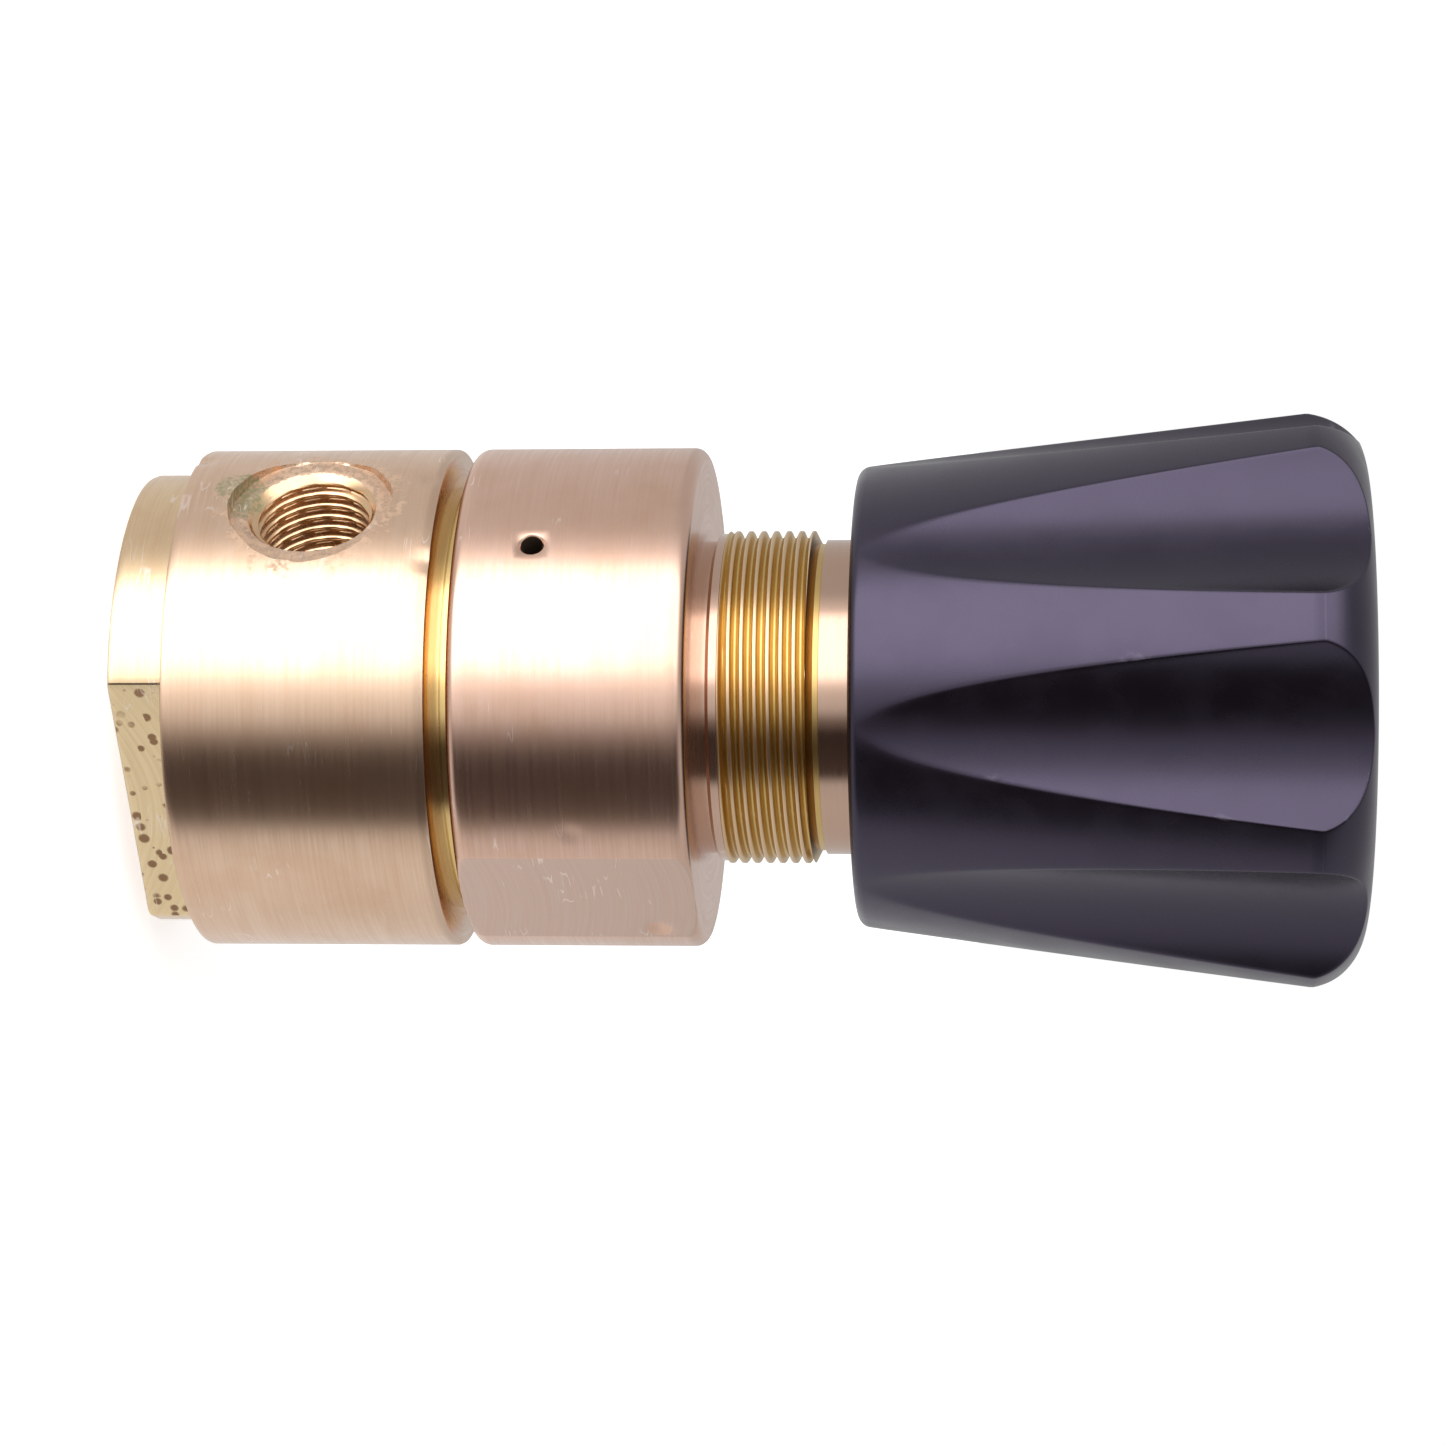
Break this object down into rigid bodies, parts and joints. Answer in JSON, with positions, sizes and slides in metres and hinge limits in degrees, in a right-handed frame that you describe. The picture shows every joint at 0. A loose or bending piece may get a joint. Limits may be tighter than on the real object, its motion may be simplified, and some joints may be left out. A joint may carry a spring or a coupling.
{
  "type": "air pressure regulator",
  "caption": "Round brass piston-type pressure regulator with a side inlet port, a spring bonnet, a threaded panel-mount neck and a fluted black adjusting knob.",
  "frame": {"origin": "centre of the bottom cap's outer face", "axes": "+Z along the regulator's axis towards the knob, -X through the inlet port, +X through the outlet port, +Y through the gauge port"},
  "size_m": [0.0604, 0.0604, 0.1269],
  "materials": {
    "turned_brass": "satin, fine turning marks, pinkish bronze",
    "inner_brass": "machined",
    "sintered_bronze": "porous matt",
    "steel": "turned",
    "spring_steel": "drawn wire, oiled",
    "seal_rubber": "matt",
    "seat_polymer": "machined polymer",
    "black_knob": "fine satin, black"
  },
  "bodies": {
    "housing": {"regulator_body": "turned_brass", "bottom_cap": "turned_brass", "bottom_cap_o_ring": "seal_rubber", "valve_seat": "seat_polymer", "seat_retainer": "inner_brass", "inlet_filter": "sintered_bronze", "filter_snap_ring": "spring_steel", "valve_spring": "spring_steel", "piston_guide": "inner_brass", "guide_o_ring": "seal_rubber", "bonnet": "turned_brass", "range_spring": "spring_steel"},
    "piston_group": {"sensing_piston": "steel", "piston_o_ring": "seal_rubber", "piston_backup_ring": "seat_polymer", "lower_spring_seat": "steel"},
    "poppet_group": {"valve_poppet": "steel", "poppet_o_ring": "seal_rubber"},
    "spring_carrier": {"upper_spring_seat": "steel", "thrust_ball": "steel"},
    "knob_group": {"knob": "black_knob", "adjusting_screw": "steel", "knob_insert": "inner_brass", "knob_washer": "steel", "knob_nut": "steel", "knob_cap": "black_knob"}
  },
  "joints": [
    {"name": "screw_advance", "type": "slide", "parent": "housing", "child": "spring_carrier", "axis": [0, 0, -1], "range_m": [0, 0.00762], "deforming": ["range_spring"]},
    {"name": "knob_turn", "type": "hinge", "parent": "spring_carrier", "child": "knob_group", "pos_m": [0, 0, 0.0885], "axis": [0, 0, -1], "range_deg": [0, 2160]},
    {"name": "piston_travel", "type": "slide", "parent": "housing", "child": "piston_group", "axis": [0, 0, -1], "range_m": [0, 0.0008], "stiffness_N_per_m": 4000, "springref_m": -0.001},
    {"name": "poppet_lift", "type": "slide", "parent": "housing", "child": "poppet_group", "axis": [0, 0, -1], "range_m": [0, 0.0008], "stiffness_N_per_m": 4000, "springref_m": -0.001, "deforming": ["valve_spring"]}
  ],
  "couplings": [
    {"joint": "screw_advance", "follows": "knob_turn", "m_per_rad": 0.00020212},
    {"joint": "poppet_lift", "follows": "piston_travel", "ratio": 1}
  ]
}
